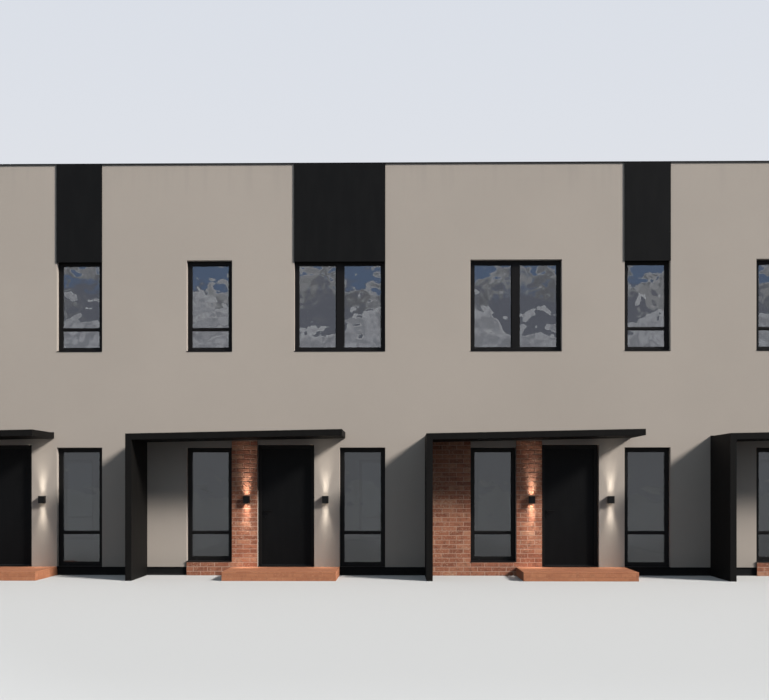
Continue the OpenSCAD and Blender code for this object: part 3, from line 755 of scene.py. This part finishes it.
def chamfered_faces():
    """Faces of a block with cut edges: six sides, twelve chamfers and eight corners."""
    def at(a, b, c, i):
        return 3 * (a + 2 * b + 4 * c) + i

    faces = []
    for i in range(3):
        j = (i + 1) % 3
        k = (i + 2) % 3
        for side in (0, 1):
            loop = []
            for u, v in ((0, 0), (1, 0), (1, 1), (0, 1)):
                place = [0, 0, 0]
                place[i], place[j], place[k] = side, u, v
                loop.append(at(*place, i))
            faces.append(loop if side else loop[::-1])
        for u in (0, 1):
            for v in (0, 1):
                ends = []
                for w in (0, 1):
                    place = [0, 0, 0]
                    place[i], place[j], place[k] = w, u, v
                    ends.append((at(*place, j), at(*place, k)))
                loop = [ends[0][0], ends[1][0], ends[1][1], ends[0][1]]
                faces.append(loop if u == v else loop[::-1])
    for c in (0, 1):
        for b in (0, 1):
            for a in (0, 1):
                loop = [at(a, b, c, 0), at(a, b, c, 1), at(a, b, c, 2)]
                faces.append(loop if (a + b + c) % 2 else loop[::-1])
    return faces


CHAMFERED_FACES = chamfered_faces()


def burnt_clay(name, tints, bumps, marks, bloom_tint, broken):
    """Fired clay: each unit has its own tint, broken by the fire, with darker kiln marks, pale
    bloom, and a painted shade that darkens its tops."""
    made, place, shader = new_finish(name)
    tone = place.node("ShaderNodeAttribute", {"attribute_name": "tone"}, {}, "Fac")
    stops = [(i / (len(tints) - 1), colour(*tint)) for i, tint in enumerate(tints)]
    fired = between(grain(place, 0.07, 5, (0.6, 1, 1.4)), 0.3, 0.7)
    shade = (1 - broken) * tone + broken * fired
    own = tone.node("ShaderNodeValToRGB", {"stops": stops}, {"Fac": shade})
    kiln = between(grain(place, 0.06, 5), 0.48, 0.72)
    grit = grain(place, 0.004, 3)
    bloom = between(grain(place, 0.03, 6) + 0.3 * grain(place, 0.35, 2) + 0.15 * grit, 0.73, 0.98)
    kiln_marks_and_shade = mix(marks * kiln, own, colour(*tints[0], 0.6))
    upward = axis(place.node("ShaderNodeNewGeometry", {}, {}, "Normal"), "Z")
    # Painted shade: faces that point up are painted darker.
    kiln_marks_and_shade = mix(0.3 * between(upward, 0.6, 0.95), kiln_marks_and_shade, colour(*tints[0], 0.65))
    coat(shader, Base_Color=mix(marks * bloom, kiln_marks_and_shade, colour(*bloom_tint)),
         Roughness=0.82, Specular_IOR_Level=0.3,
         Normal=bump(bumps * (0.5 * grit + grain(place, 0.02, 4)), 1.0))
    return made


def mortar(name, tint):
    made, place, shader = new_finish(name)
    sand = grain(place, 0.003, 3)
    damp = grain(place, 0.12, 4)
    tone = mix(damp, colour(*tint, 0.8), colour(*tint, 1.1))
    coat(shader, Base_Color=mix(0.4 * sand, tone, colour(*tint, 0.65)), Roughness=0.92,
         Specular_IOR_Level=0.2, Normal=bump(sand, 0.0012))
    return made


paver_length = 0.240
paver_width = 0.115
joint = 0.008
clinker = burnt_clay("clinker", [(0.345, 0.132, 0.066), (0.395, 0.157, 0.078), (0.44, 0.182, 0.092)],
                     0.0010, 0.45, (0.54, 0.27, 0.15), 0.3)
clinker_mortar = mortar("clinker_mortar", (0.42, 0.18, 0.10))
pavers = Shape()
cores = Shape()


def stretchers(start, end, row):
    """Spans of the units in one row, which starts with half a unit if its number is odd."""
    pitch = paver_length + joint
    smallest = 0.03
    cut = start - (pitch / 2 if row % 2 else 0)
    while cut < end:
        span = (max(cut, start), min(cut + paver_length, end))
        if span[1] - span[0] > smallest:
            yield span
        cut += pitch


def pave(x, y, z):
    """Pavers between two levels, in stretcher bond from the street edge."""
    rows = max(1, round((y[1] - y[0]) / (paver_width + joint)))
    depth = (y[1] - y[0] + joint) / rows
    for row in range(rows):
        front = y[0] + row * depth
        for span in stretchers(*x, row):
            fired_unit(pavers, span, (front, front + depth - joint), z, random.random())


def face_step(x, y, z, along_x):
    """Two courses of slips on one side of a step."""
    courses = 2
    height = (z[1] - z[0] + joint) / courses
    for number in range(courses):
        level = (z[0] + number * height, z[0] + (number + 1) * height - joint)
        for span in stretchers(*(x if along_x else y), number):
            sides = (span, y) if along_x else (x, span)
            fired_unit(pavers, *sides, level, random.random())


thickness = 0.022
set_back = 0.002
for low, high in solids("entrance_steps"):
    pave((low.x, high.x), (low.y, high.y), (high.z - thickness, high.z))
    below = (low.z, high.z - thickness - joint)
    face_step((low.x, high.x), (low.y, low.y + thickness), below, True)
    inner = (low.y + thickness + joint, high.y)
    face_step((low.x, low.x + thickness), inner, below, False)
    face_step((high.x - thickness, high.x), inner, below, False)
    cores.block((low.x + set_back, high.x - set_back), (low.y + set_back, high.y),
                (low.z, high.z - set_back))
step_tiles = pavers.piece("step_clinkers", clinker)
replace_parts(step_tiles, "entrance_steps")
cores.piece("step_mortar", clinker_mortar)


# Brick facing: handmade facing bricks in stretcher bond on the pier beside the door, under the
# short window and, on every second house, as far as the fin. The joints are raked a little.
brick_length = 0.240
brick_joint = 0.010
smallest_brick = 0.05
course = 0.079
raked = 0.0035
unevenness = 0.0015
soffit_joint = 0.003
facing_boxes = {node: solids(node) for node in ("brick_piers", "brick_aprons", "brick_side_panels")}
facing = [box for boxes in facing_boxes.values() for box in boxes]
facing_y = min(low.y for low, high in facing)
plaster_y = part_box("front_plaster_upper")[0].y


def soffit_at(x):
    """Height of the canopy's underside above a point on the facing."""
    for node in ("brick_piers", "brick_side_panels"):
        for low, high in facing_boxes[node]:
            if low.x - 1e-4 <= x <= high.x + 1e-4:
                left = top_near(node, 0, low.x)
                right = top_near(node, 0, high.x)
                return left + (right - left) * (x - low.x) / (high.x - low.x)
    return min(high.z for low, high in facing_boxes["brick_aprons"])


def joined(spans):
    """Spans that touch become one."""
    whole = []
    for start, end in sorted(spans):
        if whole and start - whole[-1][1] < 1e-3:
            whole[-1] = (whole[-1][0], end)
        else:
            whole.append((start, end))
    return whole


def bed_end(x, inward, height):
    """A bed of mortar ends a little inside its bricks, or inside the taller bed that it joins."""
    taller = [side.x for box in facing for side in box if box[1].z > height + 0.1]
    joins = any(abs(side - x) < 1e-3 for side in taller)
    return x + inward * (-2 * set_back if joins else set_back)


bricks = Shape()
bed = Shape()
for node, boxes in facing_boxes.items():
    for low, high in boxes:
        tops = [top_near(node, 0, x) for x in (low.x, high.x)]
        across = ((bed_end(low.x, 1, high.z), tops[0]), (bed_end(high.x, -1, high.z), tops[1]))
        depth = (facing_y + raked, plaster_y)
        points = [(x, y, low.z) for y in depth for x, top in across]
        bed.add(points + [(x, y, top) for y in depth for x, top in across], BLOCK_FACES)
rows = math.ceil(max(high.z for low, high in facing) / course)
pitch = brick_length + brick_joint
for row in range(rows):
    level = row * course
    spans = joined([(low.x, high.x) for low, high in facing if high.z > level + 0.5 * course])
    shift = pitch / 2 if row % 2 else 0
    for start, end in spans:
        first = math.floor((start - shift) / pitch)
        cuts = [(first + n) * pitch + shift for n in range(int((end - start) / pitch) + 3)]
        whole = [cut for cut in cuts if start + smallest_brick < cut < end - smallest_brick]
        cuts = [start] + whole + [end]
        for left, right in zip(cuts, cuts[1:]):
            a = left + (brick_joint / 2 if left > start else 0) + random.uniform(-0.001, 0.001)
            a = max(a, start)
            b = right - (brick_joint / 2 if right < end else 0)
            tops = [min(level + course - brick_joint, soffit_at(x) - soffit_joint) for x in (a, b)]
            if min(tops) - level < 0.02:
                continue
            y = (facing_y + random.uniform(0, unevenness), plaster_y + 0.001)
            fired_unit(bricks, (a, b), y, (level, tops[0]), random.random(), 0.0012, tops)
handmade = burnt_clay("handmade_brick", [(0.18, 0.063, 0.036), (0.26, 0.093, 0.052),
                                         (0.31, 0.115, 0.064), (0.36, 0.147, 0.084), (0.44, 0.24, 0.15)],
                      0.002, 0.6, (0.57, 0.39, 0.27), 0.25)
brickwork = bricks.piece("facing_bricks", handmade)
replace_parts(brickwork, "brick_piers", "brick_aprons", "brick_side_panels")
bed.piece("facing_mortar", mortar("brick_mortar", (0.50, 0.32, 0.24)))


# Wall lamps: square cast housings in satin black on a small back plate, two at each door.
# A frosted lens at the top and one at the bottom throw narrow warm beams along the wall.
lamp_paint = powder_coat("lamp_paint", (0.006, 0.0058, 0.0056), roughness=0.45, shine=0.1)
dress("wall_lamps", lamp_paint)
soften(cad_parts["wall_lamps"], fine_edge)


def frosted_lens(name):
    made, place, shader = new_finish(name)
    cells = grain(place, 0.01, 1)
    coat(shader, Base_Color=mix(cells, colour(0.80, 0.74, 0.64), colour(0.90, 0.85, 0.76)), Roughness=0.5,
         Emission_Color=mix(cells, colour(1.0, 0.86, 0.68), colour(1.0, 0.92, 0.78)),
         Emission_Strength=2.0)
    return made


def beam_from(place, up, size, spread, power):
    """A beam that leaves a lens straight up or down and opens by a spread in degrees."""
    lamp = bpy.data.lights.new("wall_beam", "AREA")
    lamp.shape = "RECTANGLE"
    lamp.size, lamp.size_y = size
    lamp.spread = math.radians(spread)
    lamp.energy = power
    lamp.color = (1.0, 0.94, 0.84)
    beam = bpy.data.objects.new("wall_beam", lamp)
    beam.location = place
    beam.rotation_euler = (math.pi if up > 0 else 0, 0, 0)
    bpy.context.scene.collection.objects.link(beam)


# Each beam by its distance from the wall, height over the lens, size, spread and power. Brick
# swallows more of the light, so the lamps on it are stronger and have a second, wider beam.
on_plaster = [(0.053, 0.006, (0.08, 0.07), 40, 0.80)]
on_brick = [(0.048, 0.006, (0.08, 0.07), 38, 0.90), (0.030, 0.008, (0.07, 0.03), 85, 0.37)]
casing = 0.006
back_plate = 0.006
clearance = 0.001
lens_depth = 0.014
lens_thickness = 0.004
lenses = Shape()
for low, high in solids("wall_lamps"):
    inside = casing + clearance
    x = (low.x + inside, high.x - inside)
    y = (low.y + inside, high.y - back_plate - inside)
    beams = on_brick if high.y < plaster_y - 0.01 else on_plaster
    for z, up in ((low.z + lens_depth, -1), (high.z - lens_depth, 1)):
        lenses.block(x, y, sorted((z, z + up * lens_thickness)))
        for away, lift, size, spread, power in beams:
            beam_from((sum(x) / 2, high.y - away, z + up * lift), up, size, spread, power)
lenses.piece("lamp_lenses", frosted_lens("frosted_lens"))


# Door frames and thresholds: black frames screwed into the plaster's depth, over a threshold of
# dark anodised aluminium. A rubber seal runs round each stop, and the hinges' fixed halves sit on
# the right jamb, on the rooms' side.
dress("door_frames", frame_paint)
soften(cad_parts["door_frames"], drawn_edge)


def dark_anodising(name):
    made, place, shader = new_finish(name)
    lines = grain(place, 0.0015, 2, (0.02, 1, 1))
    worn = between(grain(place, 0.15, 4), 0.4, 0.75)
    tone = mix(worn, colour(0.006, 0.0057, 0.0055), colour(0.014, 0.013, 0.012))
    coat(shader, Base_Color=tone, Roughness=0.5 + 0.15 * worn, Specular_IOR_Level=0.1,
         Normal=bump(lines, 0.00005))
    return made


dress("door_thresholds", dark_anodising("dark_threshold"))
door_seals = Shape()
stop_depth = 0.02
stop_inset = 0.050
seal_depth = 0.0045
seal_width = 0.010
for low, high in door_frames:
    stop_y = low.y + stop_depth
    ring(door_seals, (low.x + stop_inset, high.x - stop_inset), (stop_y, stop_y + seal_depth),
         (low.z, high.z - stop_inset), seal_width)
door_seals.piece("door_seals", black_rubber)
fitting_paint = powder_coat("fitting_paint", (0.0025, 0.0025, 0.0026), roughness=0.4, shine=0.08,
                            texture=0.00002)
dress("door_hinge_pins", fitting_paint)


# Doors: flush leaves in satin anthracite with a lever and a lock on each face.
# Each leaf turns inwards on three hinges.
door_paint = powder_coat("door_paint", (0.0040, 0.0041, 0.0043), roughness=0.5, shine=0.06)
for number in range(1, 5):
    leaf = f"house_{number}_door_leaf"
    dress(leaf, door_paint)
    soften(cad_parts[leaf], folded_edge)
    dress(f"house_{number}_door_fittings", fitting_paint)


# Studio: a pale floor, a low lamp from the right of the street, made of three soft suns side by side,
# and a weaker one behind the row. A pale surround is what the eye and the glass see, while a dimmer
# one fills the shadows, and a mottled sheet stands far off for the upper panes to mirror.
def pale_floor(name):
    """Pale to the eye and in reflections, darker for the light that it throws back."""
    made, place, shader = new_finish(name)
    ray = place.node("ShaderNodeLightPath", {}, {}, "Is Camera Ray")
    glossy = place.node("ShaderNodeLightPath", {}, {}, "Is Glossy Ray")
    clear = place.node("ShaderNodeLightPath", {}, {}, "Is Transmission Ray")
    seen = ray.math("MAXIMUM", ray, glossy.math("MAXIMUM", glossy, clear))
    coat(shader, Base_Color=mix(seen, colour(0.085, 0.093, 0.100), colour(0.58, 0.58, 0.575)),
         Roughness=0.9, Specular_IOR_Level=0.0)
    return made


def stage_sheet(name, corners, finish):
    """A flat sheet of the studio's own, which is no part of the row."""
    mesh = bpy.data.meshes.new(name)
    mesh.from_pydata(corners, [], [(0, 1, 2, 3)])
    mesh.materials.append(finish)
    made = bpy.data.objects.new(name, mesh)
    bpy.context.scene.collection.objects.link(made)
    made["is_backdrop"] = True
    return made


reach = 300.0
stage_sheet("floor", [(-reach, -reach, 0), (reach, -reach, 0), (reach, reach, 0), (-reach, reach, 0)],
            pale_floor("pale_floor"))


def lamp_from(name, direction, strength, tint, softness):
    """A far lamp whose light travels in a direction, with shadows softened by an angle."""
    light = bpy.data.lights.new(name, "SUN")
    light.energy = strength
    light.color = tint
    light.angle = math.radians(softness)
    made = bpy.data.objects.new(name, light)
    made.rotation_euler = Vector(direction).to_track_quat("-Z", "Y").to_euler()
    bpy.context.scene.collection.objects.link(made)


for across in (0.87, 1.0, 1.14):
    lamp_from("key", (-1.70, across, -1.16), 1.81, (1.0, 0.95, 0.897), 10)
lamp_from("back", (0.5, -0.866, -0.52), 1.6, (0.95, 0.97, 1.0), 12)


def mottled_reflector(name):
    """Sheet for the panes to mirror: pale heaps low down, a grey band, softer heaps and blue."""
    made, place, shader = new_finish(name)
    tree = made.node_tree
    tree.nodes.remove(shader)
    height = axis(place, "Z")
    broad = grain(place, 6, 5, (1, 1, 1.4)) - 0.5
    folds = between(grain(place, 1.8, 5), 0.35, 0.65)
    behind = mix(between(height, 18.0, 19.5), colour(0.90, 0.93, 1.08), colour(0.74, 1.0, 1.5))
    upper = height + 17 * broad
    veil = between(upper, 16.8, 18.0) * between(upper, 19.7, 19.4)
    soft = mix(between(upper, 18.6, 19.5), mix(folds, colour(0.95, 0.96, 1.02), colour(1.7, 1.68, 1.7)),
               colour(2.2, 2.2, 2.25))
    lower = height - 15 * broad
    heaps = between(lower, 16.3, 16.1)
    pale = mix(between(lower, 15.4, 16.1), mix(folds, colour(1.55, 1.55, 1.65), colour(2.5, 2.5, 2.6)),
               colour(2.7, 2.7, 2.75))
    shown = mix(heaps, mix(veil, behind, soft), pale)
    glow = place.node("ShaderNodeEmission", {}, {"Color": shown, "Strength": 1.0})
    tree.links.new(glow.socket, tree.nodes["Material Output"].inputs["Surface"])
    made.cycles.emission_sampling = "NONE"
    return made


far = 75.0
wide = 150.0
bottom = 8.0
top = 70.0
reflector = stage_sheet("reflector", [(-wide, -far, bottom), (wide, -far, bottom), (wide, -far, top),
                                      (-wide, -far, top)], mottled_reflector("mottled_reflector"))
reflector.visible_camera = False
reflector.visible_diffuse = False
reflector.visible_shadow = False

world = bpy.data.worlds.new("surround")
world.use_nodes = True
bpy.context.scene.world = world
tree = world.node_tree
around = Wire(tree, tree.nodes.new("ShaderNodeTexCoord").outputs["Generated"])
rise = between(axis(around, "Z"), 0.0, 0.5)
pale = mix(rise, colour(0.78, 0.79, 0.82), colour(0.70, 0.735, 0.80))
ray = around.node("ShaderNodeLightPath", {}, {}, "Is Camera Ray")
glossy = around.node("ShaderNodeLightPath", {}, {}, "Is Glossy Ray")
clear = around.node("ShaderNodeLightPath", {}, {}, "Is Transmission Ray")
seen = ray.math("MAXIMUM", ray, glossy.math("MAXIMUM", glossy, clear))
fill = around.node("ShaderNodeBackground", {}, {"Color": colour(0.84, 1.0, 1.16), "Strength": 0.376})
backdrop = around.node("ShaderNodeBackground", {}, {"Color": pale, "Strength": 1.0})
both = around.node("ShaderNodeMixShader", {}, {0: seen, 1: fill, 2: backdrop})
tree.links.new(both.socket, tree.nodes["World Output"].inputs["Surface"])

camera_data = bpy.data.cameras.new("camera")
camera_data.lens = 48.97
camera_data.sensor_width = 36.0
camera_data.shift_y = 0.1755
camera = bpy.data.objects.new("camera", camera_data)
camera.location = (-0.50, -22.363, 1.592)
camera.rotation_euler = (math.radians(90), 0, 0.0142)
bpy.context.scene.collection.objects.link(camera)
bpy.context.scene.camera = camera
bpy.context.scene.view_settings.view_transform = "Standard"

low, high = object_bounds()
{"cad": [list(cad_low), list(cad_high)], "visual": [list(low), list(high)]}
